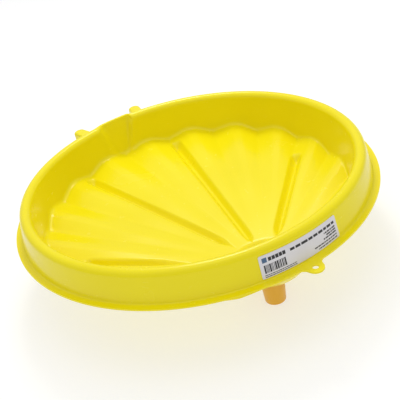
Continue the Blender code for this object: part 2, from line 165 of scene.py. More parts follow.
# Drain fitting.
THREAD_CREST_RADIUS = 0.0219
THREAD_ROOT_RADIUS = 0.0207
THREAD_PITCH = 0.002
THREAD_END = -0.082
THREAD_STEP = 0.00025
THREAD_RUN_OUT = 0.0005
THREAD_TOOTH_TOP = 1.35
THREAD_TOOTH_SLOPE = 2.9
SPOUT_FLANGE = 0.003
SPOUT_END_RADIUS = 0.0182
SPOUT_TAPER = math.radians(4.0)
SPOUT_WALL = 0.0028
SPOUT_BORE_STEP = 0.0025
NUT_ACROSS_FLATS = nut_high.x - nut_low.x
NUT_CORNER_RADIUS = 0.0330
NUT_BORE_RADIUS = 0.0223
NUT_LEAD_IN = 0.0006
NUT_LEAD_DEPTH = 0.0008
NUT_CONE_DROP = 0.0012
NUT_CONE_SLOPE = 1.7
RING_COLUMNS = 96
NUT_COLUMNS = 180
ROUND_END_STEPS = 8
STRAINER_PLATE = 0.0022
STRAINER_COLLAR_RADIUS = 0.0158
STRAINER_COLLAR_TAPER = 0.0006
STRAINER_COLLAR_WALL = 0.002
STRAINER_KNOB_RADIUS = 0.0042
STRAINER_NECK_RADIUS = 0.0027
STRAINER_HOLE_RINGS = ((0.0072, 6), (0.0121, 10))
STRAINER_HOLE_RADIUS = 0.0018
STRAINER_SLOTS = 12
STRAINER_SLOT_ENDS = (0.0245, 0.0185)
STRAINER_SLOT_HALF_WIDTH = 0.0012
STRAINER_CUT_DEPTH = 0.002
# Countersinks: (depth below the plate's face, widening, height of the cutter's end above the face).
HOLE_SINK = (0.0006, 0.0008, 0.0002)
SLOT_SINK = (0.0005, 0.0006, 0.0001)

# Edges of a finish are sharp where its faces turn by more than this, in degrees.
PAN_CREASE = 50
RING_CREASE = 35
NUT_CREASE = 28
LABEL_CREASE = 30

# Studio: the camera looks from the left of the front, and is turned about its own axis.
CAMERA_AZIMUTH = math.radians(-25.9)
CAMERA_ELEVATION = math.radians(29.82)
CAMERA_ROLL = math.radians(-13.21)
CAMERA_ASIDE = math.radians(0.246)
CAMERA_BELOW = math.radians(0.894)
CAMERA_DISTANCE = 1.390
CAMERA_LENS = 67.5
STUDIO_HALF = 4.0
STUDIO_DROP = 0.0002
FLOOR_TONE = 0.45
FLOOR_GLOW = 0.58
SKY_LOW, SKY_HIGH = 0.40, 1.00
# Lights that point at the pan's axis: (name, place, size, power).
LIGHTS = (
    ("overhead", (0.0, -0.3, 1.9), (1.3, 1.1), 3),
    ("key", (0.55, 0.90, 1.75), (0.55, 0.55), 12.5),
)

# Label, wrapped on the skirt.
LABEL_LENGTH = 0.1524
LABEL_HEIGHT = (label_high.z - label_low.z) / math.cos(SKIRT_DRAFT)
LABEL_CORNER = 0.0025
LABEL_THICKNESS = 0.0004
LABEL_COLUMNS = 72
LABEL_MIDDLE = math.radians(-90.2)
INK_LOW = LABEL_THICKNESS + 0.00002
INK_HIGH = LABEL_THICKNESS + 0.00006

# Printing on the label, in millimetres from its lower left corner. A line is (start, up, height).
PRINT_SEED = 11
PRINT_RIGHT = 147
PRINT_STEP = 4
TITLE = (54, 26.4, 4.2)
TITLE_WORD = 13.0
DETAIL_LINES = ((121, 20.4, 2.4), (125, 16.2, 2.4), (118, 12.0, 2.4), (97, 7.0, 2.0), (104, 2.6, 1.8))
DETAIL_WORD = 9.0
FOOT_LEFT, FOOT_RIGHT = 5, 60
FOOT_LINES = (1.4, 4.2)
FOOT_HEIGHT = 1.2
FOOT_WORD = 6.0
SHORTEST_WORD = 0.35
WORD_SPACE = 0.45
MARK = (5.0, 25.6, 8.0, 8.0)
MARK_BLOCKS = 5
MARK_BLOCK_LEFT, MARK_BLOCK_LOW = 15.5, 26.2
MARK_BLOCK_WIDTH, MARK_BLOCK_HEIGHT = 5.2, 6.2
MARK_BLOCK_STEP = 6.2
BAR_LEFT, BAR_RIGHT = 6.0, 44
BAR_LOW, BAR_HEIGHT = 8.0, 13.5
BAR_WIDTHS = (0.9, 0.9, 1.8, 2.6)
BAR_SPACES = (0.9, 0.9, 1.5)

REAR = math.pi / 2
LUG_TURN = math.asin(LUG_SPACING / 2 / LUG_CENTRE_RADIUS)


# Meshes.


def smooth(low, high, value):
    """0 below low, 1 above high, and a smooth rise between them."""
    share = np.clip((value - low) / (high - low), 0.0, 1.0)
    return share * share * (3 - 2 * share)


def new_object(name, vertices, faces, material=None):
    mesh = bpy.data.meshes.new(name)
    mesh.from_pydata([tuple(map(float, v)) for v in vertices], [], [tuple(map(int, f)) for f in faces])
    mesh.validate()
    obj = bpy.data.objects.new(name, mesh)
    bpy.context.scene.collection.objects.link(obj)
    if material:
        mesh.materials.append(material)
    mesh.shade_smooth()
    return obj


def object_from(bm, name, material=None):
    """Turns a bmesh into an object whose faces look outwards, and frees it."""
    bmesh.ops.recalc_face_normals(bm, faces=bm.faces[:])
    mesh = bpy.data.meshes.new(name)
    bm.to_mesh(mesh)
    bm.free()
    if material:
        mesh.materials.append(material)
    obj = bpy.data.objects.new(name, mesh)
    bpy.context.scene.collection.objects.link(obj)
    return obj


def grid_faces(columns, rows, closed_columns, closed_rows=False):
    """Quads of a grid of vertices numbered column by column."""
    faces = []
    for column in range(columns if closed_columns else columns - 1):
        after = (column + 1) % columns
        for row in range(rows if closed_rows else rows - 1):
            below = (row + 1) % rows
            faces.append(
                (column * rows + row, after * rows + row, after * rows + below, column * rows + below)
            )
    return faces


def apply_modifiers(obj):
    """Makes the evaluated mesh the object's own."""
    bpy.context.view_layer.update()
    graph = bpy.context.evaluated_depsgraph_get()
    mesh = bpy.data.meshes.new_from_object(obj.evaluated_get(graph))
    old = obj.data
    obj.modifiers.clear()
    obj.data = mesh
    bpy.data.meshes.remove(old)


def tidy_solid(obj):
    """Merges the vertices that meet on an axis and turns every face outwards."""
    bm = bmesh.new()
    bm.from_mesh(obj.data)
    bmesh.ops.remove_doubles(bm, verts=bm.verts[:], dist=1e-6)
    bmesh.ops.recalc_face_normals(bm, faces=bm.faces[:])
    bm.to_mesh(obj.data)
    bm.free()


def tie(obj, body, node=None):
    """Lifts a finished piece to its place in the frame, ties it to its body and hides its node, if one
    is given.
    """
    obj.data.transform(Matrix.Translation(LIFT))
    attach(obj, body)
    if node:
        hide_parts(node)


def sharpen(obj, degrees):
    obj.data.shade_smooth()
    obj.data.set_sharp_from_angle(angle=math.radians(degrees))


# Materials.


class Nodes:
    """A material's node tree, with short calls for the nodes used here."""

    def __init__(self, name):
        self.material = bpy.data.materials.new(name)
        self.material.use_nodes = True
        self.tree = self.material.node_tree
        self.shader = self.tree.nodes["Principled BSDF"]
        self.place = self.tree.nodes.new("ShaderNodeTexCoord").outputs["Object"]

    def link(self, source, target):
        self.tree.links.new(source, target)

    def noise(self, scale, detail=3.0, roughness=0.5, stretch=None):
        node = self.tree.nodes.new("ShaderNodeTexNoise")
        node.inputs["Scale"].default_value = scale
        node.inputs["Detail"].default_value = detail
        node.inputs["Roughness"].default_value = roughness
        place = self.place
        if stretch:
            mapping = self.tree.nodes.new("ShaderNodeMapping")
            mapping.inputs["Scale"].default_value = stretch
            self.link(place, mapping.inputs["Vector"])
            place = mapping.outputs["Vector"]
        self.link(place, node.inputs["Vector"])
        return node.outputs["Fac"]

    def ramp(self, value, low, high, start=0.0, end=1.0):
        node = self.tree.nodes.new("ShaderNodeMapRange")
        node.inputs["From Min"].default_value = low
        node.inputs["From Max"].default_value = high
        node.inputs["To Min"].default_value = start
        node.inputs["To Max"].default_value = end
        self.link(value, node.inputs["Value"])
        return node.outputs["Result"]

    def maths(self, operation, first, second):
        node = self.tree.nodes.new("ShaderNodeMath")
        node.operation = operation
        for socket, value in zip(node.inputs, (first, second)):
            if isinstance(value, (int, float)):
                socket.default_value = value
            else:
                self.link(value, socket)
        return node.outputs["Value"]

    def mix(self, factor, first, second):
        node = self.tree.nodes.new("ShaderNodeMix")
        node.data_type = "RGBA"
        self.link(factor, node.inputs["Factor"])
        for name, value in (("A", first), ("B", second)):
            socket = next(s for s in node.inputs if s.name == name and s.type == "RGBA")
            if isinstance(value, tuple):
                socket.default_value = (*value, 1)
            else:
                self.link(value, socket)
        return next(s for s in node.outputs if s.type == "RGBA")

    def bump(self, *layers):
        """Bump layers of (height, strength, distance), the coarsest first."""
        normal = None
        for height, strength, distance in layers:
            node = self.tree.nodes.new("ShaderNodeBump")
            node.inputs["Strength"].default_value = strength
            node.inputs["Distance"].default_value = distance
            self.link(height, node.inputs["Height"])
            if normal:
                self.link(normal, node.inputs["Normal"])
            normal = node.outputs["Normal"]
        self.link(normal, self.shader.inputs["Normal"])

    def hide_from_below(self):
        """Makes back faces transparent, so that the studio's floor doesn't hide the underside."""
        geometry = self.tree.nodes.new("ShaderNodeNewGeometry")
        clear = self.tree.nodes.new("ShaderNodeBsdfTransparent")
        mixed = self.tree.nodes.new("ShaderNodeMixShader")
        self.link(geometry.outputs["Backfacing"], mixed.inputs[0])
        self.link(self.shader.outputs["BSDF"], mixed.inputs[1])
        self.link(clear.outputs["BSDF"], mixed.inputs[2])
        self.link(mixed.outputs["Shader"], self.tree.nodes["Material Output"].inputs["Surface"])

    def set(self, **values):
        for name, value in values.items():
            socket = self.shader.inputs[name.replace("_", " ")]
            if isinstance(value, (int, float)):
                socket.default_value = value
            elif isinstance(value, tuple):
                socket.default_value = (*value, 1)
            else:
                self.link(value, socket)


def pan_material():
    """Glossy yellow polyethylene: faint tone changes, a fine moulded grain and light scuffs."""
    nodes = Nodes("yellow_polyethylene")
    tone = nodes.ramp(nodes.noise(5.0, 2.0), 0.35, 0.65)
    colour = nodes.mix(tone, (0.86, 0.72, 0.0020), (0.90, 0.775, 0.0040))
    speck = nodes.ramp(nodes.noise(420.0, 2.0), 0.30, 0.72)
    colour = nodes.mix(speck, colour, (0.88, 0.755, 0.0030))
    scuff = nodes.ramp(nodes.noise(60.0, 6.0, 0.7, (1.0, 1.0, 4.0)), 0.62, 0.80)
    worn = nodes.mix(nodes.maths("MULTIPLY", scuff, 0.25), colour, (0.95, 0.86, 0.10))
    gloss = nodes.ramp(nodes.noise(9.0, 4.0), 0.3, 0.7, 0.20, 0.28)
    rough = nodes.maths("ADD", gloss, nodes.maths("MULTIPLY", scuff, 0.18))
    nodes.set(Base_Color=worn, Roughness=rough, IOR=1.5, Specular_IOR_Level=0.30)
    nodes.bump(
        (nodes.noise(38.0, 2.0), 0.10, 0.0006),
        (nodes.noise(750.0, 2.0), 0.10, 0.00012),
    )
    return nodes.material


def shaded_amber_material():
    nodes = Nodes("amber_polyethylene")
    tone = nodes.ramp(nodes.noise(22.0, 3.0, 0.5, (1.0, 1.0, 0.3)), 0.3, 0.7)
    # Painted shade: the spout's darker, more orange amber stands in for the yellow plastic in shade,
    # tinted by light bounced off the pan's yellow underside.
    colour = nodes.mix(tone, (0.76, 0.375, 0.014), (0.84, 0.46, 0.022))
    rough = nodes.ramp(nodes.noise(120.0, 3.0), 0.3, 0.7, 0.30, 0.42)
    nodes.set(Base_Color=colour, Roughness=rough, IOR=1.5)
    nodes.bump((nodes.noise(600.0, 2.0), 0.12, 0.0001))
    return nodes.material


def rubber_material():
    nodes = Nodes("black_rubber")
    tone = nodes.ramp(nodes.noise(90.0, 4.0), 0.3, 0.7)
    colour = nodes.mix(tone, (0.018, 0.018, 0.018), (0.035, 0.034, 0.032))
    rough = nodes.ramp(nodes.noise(200.0, 3.0), 0.3, 0.7, 0.60, 0.78)
    nodes.set(Base_Color=colour, Roughness=rough)
    nodes.bump((nodes.noise(900.0, 3.0), 0.25, 0.0002))
    return nodes.material


def nylon_material():
    nodes = Nodes("black_nylon")
    tone = nodes.ramp(nodes.noise(60.0, 3.0), 0.3, 0.7)
    colour = nodes.mix(tone, (0.022, 0.022, 0.024), (0.040, 0.040, 0.043))
    rough = nodes.ramp(nodes.noise(150.0, 3.0), 0.3, 0.7, 0.38, 0.52)
    nodes.set(Base_Color=colour, Roughness=rough)
    nodes.bump((nodes.noise(1100.0, 2.0), 0.20, 0.0001))
    return nodes.material


def label_material():
    """White vinyl with a faint cool cast and a satin face."""
    nodes = Nodes("label_vinyl")
    tone = nodes.ramp(nodes.noise(40.0, 4.0), 0.3, 0.7)
    colour = nodes.mix(tone, (0.70, 0.68, 0.71), (0.76, 0.74, 0.77))
    fibre = nodes.ramp(nodes.noise(1400.0, 3.0, 0.6, (1.0, 1.0, 0.5)), 0.35, 0.75)
    colour = nodes.mix(fibre, colour, (0.73, 0.72, 0.75))
    rough = nodes.ramp(nodes.noise(180.0, 3.0), 0.3, 0.7, 0.34, 0.46)
    nodes.set(Base_Color=colour, Roughness=rough)
    nodes.bump((nodes.noise(130.0, 2.0), 0.15, 0.0002), (nodes.noise(1300.0, 2.0), 0.10, 0.00005))
    return nodes.material


def ink_material(name, pale, deep):
    nodes = Nodes(name)
    tone = nodes.ramp(nodes.noise(900.0, 3.0), 0.35, 0.75)
    nodes.set(Base_Color=nodes.mix(tone, deep, pale), Roughness=0.45)
    nodes.bump((nodes.noise(1500.0, 2.0), 0.10, 0.00005))
    return nodes.material


# The pan's sheet.


def pleat_wave(turn):
    """-1 in a pleat's valley and +1 on its narrow crest, with rounded corners."""

    def corner(offset):
        phase = np.abs(np.remainder(turn * PLEATS / math.tau + offset + 0.5, 1.0) - 0.5) * 2
        return 2 * np.minimum(1.0, phase / (1.0 - PLEAT_CREST_SHARE)) - 1

    return (corner(-PLEAT_ROUNDING) + 2 * corner(0) + corner(PLEAT_ROUNDING)) / 4


def frontness(turn):
    return np.maximum(0, -np.cos(turn)) ** 4


def edge_level(turn):
    """Mean height of the floor's edge on the inner wall."""
    level = EDGE_MEAN + EDGE_TILT * np.cos(turn) + EDGE_SAG * np.cos(2 * turn)
    return level + FRONT_DIP * frontness(turn) ** 2


def pleat_height(turn):
    """How far a pleat stands above or below the mean height at the wall."""
    return PLEAT_SWING * pleat_wave(turn) * (1 - FRONT_PLEAT_LOSS * frontness(turn))


def edge_height(turn):
    """Height of the floor's edge on the inner wall."""
    return edge_level(turn) + pleat_height(turn)


def lobe(turn, base, reach, half_width, fillet):
    """Outline radius of a round base with one straight-sided, round-ended lobe at turn 0."""
    turn = np.abs(turn)
    centre = base + fillet
    span = np.arcsin((half_width + fillet) / centre)
    side_start = np.arctan2(half_width, centre * np.cos(span))
    side_end = np.arctan2(half_width, reach)
    across = reach * np.sin(turn)
    tip = reach * np.cos(turn) + np.sqrt(np.clip(half_width**2 - across**2, 0, None))
    side = half_width / np.sin(np.maximum(turn, 1e-4))
    across = centre * np.sin(span - turn)
    root = centre * np.cos(span - turn) - np.sqrt(np.clip(fillet**2 - across**2, 0, None))
    outline = np.where(turn < span, root, base)
    outline = np.where(turn < side_start, side, outline)
    return np.where(turn < side_end, tip, outline)


def wrapped(turn):
    return np.remainder(turn + math.pi, math.tau) - math.pi


def flange_radius(turn):
    near = wrapped(turn - math.pi)
    outline = lobe(near, FLANGE_RADIUS, TAB_CENTRE_RADIUS, TAB_HALF_WIDTH, TAB_FILLET)
    for side in (-1, 1):
        near = wrapped(turn - side * LUG_TURN)
        lug = lobe(near, FLANGE_RADIUS, LUG_CENTRE_RADIUS, LUG_FLANGE_HALF_WIDTH, LUG_FLANGE_FILLET)
        outline = np.maximum(outline, lug)
    return outline


def skirt_radius(height):
    return SKIRT_FOOT_RADIUS - height * math.tan(SKIRT_DRAFT)


def with_lugs(radius, height, turn):
    """Pushes the skirt out to the lugs, whose top edges are rounded."""
    if np.all(height >= LUG_HEIGHT):
        return radius
    rise = np.clip((height - (LUG_HEIGHT - LUG_ROUND)) / LUG_ROUND, 0, 1)
    half_width = LUG_HALF_WIDTH - LUG_ROUND * (1 - np.sqrt(1 - rise**2))
    for side in (-1, 1):
        near = wrapped(turn - side * LUG_TURN)
        radius = np.maximum(radius, lobe(near, radius, LUG_CENTRE_RADIUS, half_width, LUG_FILLET))
    return radius


def notch_window(turn, half_width):
    """1 inside the rear notch, 0 outside it, with a soft edge."""
    across = SKIRT_FOOT_RADIUS * np.sin(turn)
    edge = np.where(across > 0, NOTCH_LEFT_EDGE, NOTCH_RIGHT_EDGE)
    across = np.abs(across)
    behind = np.cos(turn) > 0
    return np.where(behind, 1 - smooth(half_width - edge / 2, half_width + edge / 2, across), 0)


def crest_roll(turn):
    """(centre radius, centre height, roll radius) of the crest, tangent to the skirt."""
    roll = CREST_ROLL + (NOTCH_ROLL - CREST_ROLL) * notch_window(turn, NOTCH_HALF_TOP)
    height = CREST_HEIGHT - roll
    return skirt_radius(height) - roll / math.cos(SKIRT_DRAFT), height, roll


def wall_radius(height, turn):
    """Radius of the inner wall. Near the rear the notch pushes it outwards, less and less downwards."""
    centre_height = CREST_HEIGHT - CREST_ROLL
    centre = skirt_radius(centre_height) - CREST_ROLL / math.cos(SKIRT_DRAFT)
    plain = centre - CREST_ROLL / math.cos(WALL_DRAFT) - (centre_height - height) * math.tan(WALL_DRAFT)
    bottom = edge_height(np.zeros(1))[0]
    share = np.clip((height - bottom) / (CREST_HEIGHT - bottom), 0, 1)
    half_width = NOTCH_HALF_BOTTOM + (NOTCH_HALF_TOP - NOTCH_HALF_BOTTOM) * share
    roll_height = CREST_HEIGHT - NOTCH_ROLL
    deep = skirt_radius(roll_height) - NOTCH_ROLL / math.cos(SKIRT_DRAFT) - NOTCH_ROLL
    deep -= centre - CREST_ROLL / math.cos(WALL_DRAFT)
    deep -= (roll_height - centre_height) * math.tan(WALL_DRAFT)
    depth = NOTCH_DEPTH_BOTTOM + (deep - NOTCH_DEPTH_BOTTOM) * share
    return plain + depth * notch_window(turn, half_width)


def groove_share(inside):
    """Depth of a groove as a share of its full depth, from its rim (0) to its middle (1)."""
    area = 1 - (GROOVE_RIM + GROOVE_BOTTOM) / 2
    inside = np.clip(inside, 0, 1)
    rim = inside**2 / (2 * GROOVE_RIM)
    flank = inside - GROOVE_RIM / 2
    bottom = area - (1 - inside) ** 2 / (2 * GROOVE_BOTTOM)
    below_rim = np.where(inside < 1 - GROOVE_BOTTOM, flank, bottom)
    return np.where(inside < GROOVE_RIM, rim, below_rim) / area


def groove_depth(x, y):
    """Depth of the grooves below the plain floor. A groove widens and deepens outwards."""
    depth = np.zeros_like(x)
    for turn, start, end, run_out in GROOVES:
        angle = REAR + turn
        along = (x - DRAIN.x) * math.cos(angle) + (y - DRAIN.y) * math.sin(angle)
        across = -(x - DRAIN.x) * math.sin(angle) + (y - DRAIN.y) * math.cos(angle)
        share = np.clip((along - start) / (end - start), 0, 1)
        half = GROOVE_INNER_HALF_WIDTH + (GROOVE_OUTER_HALF_WIDTH - GROOVE_INNER_HALF_WIDTH) * share
        beyond = np.maximum(along - (end - GROOVE_OUTER_HALF_WIDTH), 0)
        inside = half - np.hypot(beyond, across)
        inside -= half * np.clip(1 - (along - start) / run_out, 0, 1)
        depth = np.maximum(depth, GROOVE_SLOPE * half * groove_share(inside / half))
    return depth


def column_turns():
    """Angles of the sheet's columns: close together where the shape turns sharply."""
    lug = math.degrees(LUG_TURN)
    zones = [*FRONT_ZONES, NOTCH_ZONE]
    for side in (-1, 1):
        zones += [(side * lug + flank, *LUG_FLANK_ZONE) for flank in LUG_FLANKS]
        zones += [(side * lug, *LUG_ZONE)]
        zones += [(side * centre, reach, step) for centre, reach, step in GROOVE_ZONES]
    for pleat in range(PLEATS):
        zones += [(pleat * PLEAT_TURN + corner, *PLEAT_ZONE) for corner in PLEAT_CORNERS]
    turns, turn = [], -180.0
    while turn < 180 - 1e-6:
        turns.append(turn)
        steps = [PLAIN_COLUMN_STEP]
        for centre, reach, step in zones:
            if abs(math.remainder(turn - centre, 360)) <= reach:
                steps.append(step)
        turn += min(steps)
    return np.radians(turns)


def bezier(first, corner, last, steps):
    """Points of a quadratic curve strictly between first and last."""
    shares = [(step + 1) / (steps + 1) for step in range(steps)]
    return [(1 - t) ** 2 * first + 2 * t * (1 - t) * corner + t**2 * last for t in shares]


def floor_shares():
    """Shares of the way from the wall to the sump, close together at the grooves' ends."""
    shares, share = [], 0.0
    while share < 1:
        shares.append(share)
        step = PLAIN_FLOOR_STEP
        for low, high, fine in FINE_FLOOR:
            if low <= share < high:
                step = fine
        share += step
    return shares[1:] + [1.0]


def pan_grid():
    """Upper face of the sheet as points[column, row], from the flange's edge to the drain hole."""
    turn = column_turns()
    angle = REAR + turn
    outward = np.stack([np.cos(angle), np.sin(angle), np.zeros_like(angle)], axis=1)

    def at(radius, height):
        radius = radius + np.zeros_like(turn)
        height = height + np.zeros_like(turn)
        return outward * radius[:, None] + np.stack([0 * height, 0 * height, height], axis=1)

    rows = [at(flange_radius(turn), 0)]
    foot = with_lugs(skirt_radius(0), 0.0, turn)
    rows.append(at((flange_radius(turn) + foot + FOOT_FILLET) / 2, 0))
    first = at(foot + FOOT_FILLET, 0)
    last = at(with_lugs(skirt_radius(FOOT_FILLET), FOOT_FILLET, turn), FOOT_FILLET)
    rows += [first, *bezier(first, at(foot, 0), last, 3), last]

    centre, centre_height, roll = crest_roll(turn)
    tangent = centre_height + roll * math.sin(SKIRT_DRAFT)

    def outside(height):
        rolled = centre + np.sqrt(np.clip(roll**2 - (height - centre_height) ** 2, 0, None))
        return np.where(height < tangent, skirt_radius(height), rolled)

    leans = np.radians(LUG_EDGE_LEANS)
    edge_heights = [LUG_HEIGHT - LUG_ROUND * (1 - math.sin(lean)) for lean in leans]
    for height in (*SKIRT_HEIGHTS, *edge_heights[:-1], edge_heights[-1] - LUG_SEAM, edge_heights[-1]):
        rows.append(at(with_lugs(outside(height), height, turn), height))
    start = np.maximum(SKIRT_DRAFT, np.arcsin(np.clip((LUG_HEIGHT - centre_height) / roll, -1, 1)))
    end = math.pi - WALL_DRAFT
    for share in np.linspace(0, 1, CREST_STEPS + 1)[1:]:
        lean = start + (end - start) * share
        rows.append(at(centre + roll * np.cos(lean), centre_height + roll * np.sin(lean)))

    edge = edge_height(turn)
    wall_top = centre_height + roll * math.sin(WALL_DRAFT)
    for share in WALL_SHARES:
        height = wall_top + (edge + EDGE_FILLET - wall_top) * share
        rows.append(at(wall_radius(height, turn), height))

    corner = at(wall_radius(edge, turn), edge)
    drain = np.array(DRAIN)
    away = corner - drain
    away[:, 2] = 0
    reach = np.linalg.norm(away, axis=1, keepdims=True)
    away /= reach
    level, pleat = edge_level(turn), pleat_height(turn)

    def on_floor(share):
        """The floor without its grooves, at a share of the way from the wall to the sump."""
        left = 1 - share
        points = drain + away * (SUMP_RADIUS + (reach - SUMP_RADIUS) * left)
        points[:, 2] = SUMP_EDGE_HEIGHT + (level - SUMP_EDGE_HEIGHT) * left + pleat * left**PLEAT_FADE
        return points

    fillet_share = EDGE_FILLET / float(np.mean(reach))
    first = at(wall_radius(edge + EDGE_FILLET, turn), edge + EDGE_FILLET)
    last = on_floor(fillet_share)
    rows += [first, *bezier(first, corner, last, 5)]
    span = SUMP_ROUNDING_START - fillet_share
    floor = [on_floor(fillet_share + span * share) for share in [0.0] + floor_shares()]
    for points in floor:
        points[:, 2] -= groove_depth(points[:, 0], points[:, 1])
    rows += floor

    sump = on_floor(1.0)
    seat = drain + away * SEAT_RADIUS + np.array([0, 0, SEAT_HEIGHT])
    seat_edge = drain + away * (SEAT_RADIUS - SEAT_ROUNDING) + np.array([0, 0, SEAT_HEIGHT])
    step = (sump + seat) / 2
    rows += bezier(floor[-1], sump, step, 3) + [step] + bezier(step, seat, seat_edge, 3) + [seat_edge]
    rows.append(drain + away * (DRAIN_HOLE_RADIUS + DRAIN_HOLE_EDGE) + np.array([0, 0, SEAT_HEIGHT]))
    rows.append(drain + away * DRAIN_HOLE_RADIUS + np.array([0, 0, SEAT_HEIGHT]))
    return np.stack(rows, axis=1)


def cylinder_cutter(centre, radius, low, high, sides=40):
    bm = bmesh.new()
    bmesh.ops.create_cone(
        bm, cap_ends=True, segments=sides, radius1=radius, radius2=radius, depth=high - low
    )
    bmesh.ops.translate(bm, vec=(centre[0], centre[1], (low + high) / 2), verts=bm.verts[:])
    return object_from(bm, "cutter")


def cut(obj, cutter):
    modifier = obj.modifiers.new("cut", "BOOLEAN")
    modifier.operation = "DIFFERENCE"
    modifier.object = cutter
    modifier.solver = "EXACT"
    apply_modifiers(obj)
    bpy.data.objects.remove(cutter)


def build_pan(material):
    points = pan_grid()
    columns, rows = points.shape[:2]
    pan = new_object("pan_sheet", points.reshape(-1, 3), grid_faces(columns, rows, True), material)
    sheet = pan.modifiers.new("sheet", "SOLIDIFY")
    sheet.thickness = SHEET
    sheet.offset = -1
    apply_modifiers(pan)
    cut(pan, cylinder_cutter((0, -TAB_CENTRE_RADIUS), TAB_HOLE_RADIUS, -TAB_CUT_REACH, TAB_CUT_REACH))
    sharpen(pan, PAN_CREASE)
    tie(pan, "pan", "funnel_pan")


# The drain fitting.


def rounded(corners, steps=4):
    """A closed (radius, height) outline from (radius, height, rounding) corners."""
    outline = []
    for index, (radius, height, rounding) in enumerate(corners):
        corner = np.array((radius, height))
        if rounding == 0:
            outline.append(corner)
            continue
        ends = []
        for near in (corners[index - 1], corners[(index + 1) % len(corners)]):
            towards = np.array(near[:2]) - corner
            ends.append(corner + towards * (rounding / np.linalg.norm(towards)))
        outline += [ends[0], *bezier(ends[0], corner, ends[1], steps), ends[1]]
    return outline


def ring_solid(name, section, columns, material, crease=RING_CREASE):
    """A solid round the drain's axis. section(angle) gives its closed (radius, height) outline."""
    vertices = []
    rows = 0
    for column in range(columns):
        angle = math.tau * column / columns
        outline = section(angle)
        rows = len(outline)
        for radius, height in outline:
            x, y = DRAIN.x + radius * math.cos(angle), DRAIN.y + radius * math.sin(angle)
            vertices.append((x, y, height))
    obj = new_object(name, vertices, grid_faces(columns, rows, True, True), material)
    tidy_solid(obj)
    sharpen(obj, crease)
    return obj


def build_gasket(material):
    inner, outer = DRAIN_HOLE_RADIUS, (gasket_high.x - gasket_low.x) / 2
    low, high = gasket_low.z, gasket_high.z
    outline = rounded([
        (inner, low, 0.0004),
        (outer, low, 0.0006),
        (outer, high, 0.0006),
        (inner, high, 0.0004),
    ])
    gasket = ring_solid("rubber_gasket", lambda angle: outline, RING_COLUMNS, material)
    tie(gasket, "pan", "spout_gasket")


def thread_radius(height, angle, top, end):
    """Radius of the spout's thread, which runs out softly at both ends."""
    phase = (height / THREAD_PITCH - angle / math.tau) % 1.0
    tooth = min(1.0, max(0.0, THREAD_TOOTH_TOP - THREAD_TOOTH_SLOPE * abs(phase - 0.5)))
    run_out = min(1.0, max(0.0, (top - height) / THREAD_PITCH), max(0.0, (height - end) / THREAD_PITCH))
    return THREAD_ROOT_RADIUS + (THREAD_CREST_RADIUS - THREAD_ROOT_RADIUS) * tooth * run_out


def build_spout(material):
    high = spout_high.z
    under = high - SPOUT_FLANGE
    end = spout_low.z
    flange = (spout_high.x - spout_low.x) / 2
    root = SPOUT_END_RADIUS + (THREAD_END - end) * math.tan(SPOUT_TAPER)
    bore = root - SPOUT_WALL - SPOUT_BORE_STEP
    upper = rounded([(bore, high, 0.0016), (flange, high, 0.0010), (flange, under, 0.0005)])
    lower = rounded([
        (THREAD_ROOT_RADIUS, THREAD_END, 0.0006),
        (root, THREAD_END - 0.0010, 0.0006),
        (SPOUT_END_RADIUS, end, 0.0011),
        (SPOUT_END_RADIUS - SPOUT_WALL, end, 0.0009),
    ])
    thread_low = THREAD_END + THREAD_RUN_OUT
    heights = np.arange(under - 0.0001, thread_low, -THREAD_STEP)

    def section(angle):
        radii = [thread_radius(height, angle, under, thread_low) for height in heights]
        return upper + list(zip(radii, heights)) + lower

    spout = ring_solid("amber_spout", section, RING_COLUMNS, material)
    tie(spout, "pan", "drain_spout")


def build_locknut(material):
    low, high = nut_low.z, nut_high.z
    outline = rounded([
        (NUT_BORE_RADIUS + NUT_LEAD_IN, high, 0.0003),
        (1.0, high, 0.0008),
        (1.0, low, 0.0008),
        (NUT_BORE_RADIUS + NUT_LEAD_IN, low, 0.0003),
        (NUT_BORE_RADIUS, low + NUT_LEAD_DEPTH, 0.0002),
        (NUT_BORE_RADIUS, high - NUT_LEAD_DEPTH, 0.0002),
    ])

    def section(angle):
        """The nut's outline, with radius 1 in it standing for the hexagon's reach at this angle."""
        side = math.remainder(angle - math.pi / 6, math.pi / 3)
        hexagon = NUT_ACROSS_FLATS / 2 / math.cos(side)
        reach = min(hexagon, NUT_CORNER_RADIUS)
        points = []
        for radius, height in outline:
            near = min(height - low, high - height)
            cone = NUT_CORNER_RADIUS - NUT_CONE_DROP + near * NUT_CONE_SLOPE
            points.append((radius if radius < 0.5 else min(reach - (1.0 - radius), cone), height))
        return points

    nut = ring_solid("amber_locknut", section, NUT_COLUMNS, material, NUT_CREASE)
    tie(nut, "pan", "spout_locknut")


def sunk_levels(half_width, low, high, sink):
    """(half width, height) of the rings of a cutter whose upper edge is countersunk."""
    depth, widening, over = sink
    return ((half_width, low), (half_width, high - depth), (half_width + widening, high + over))


def countersunk_hole(bm, place, low, high, radius, sides=24):
    """A cutter for a round hole whose upper edge is countersunk."""
    rings = []
    for ring_radius, height in sunk_levels(radius, low, high, HOLE_SINK):
        ring = []
        for side in range(sides):
            angle = math.tau * side / sides
            ring.append(bm.verts.new((place[0] + ring_radius * math.cos(angle),
                                      place[1] + ring_radius * math.sin(angle), height)))
        rings.append(ring)
    close_rings(bm, rings)


def close_rings(bm, rings):
    """Side faces between rings of vertices, and a face at either end."""
    for this, following in zip(rings, rings[1:]):
        for side in range(len(this)):
            after = (side + 1) % len(this)
            bm.faces.new((this[side], this[after], following[after], following[side]))
    bm.faces.new(rings[0])
    bm.faces.new(rings[-1])


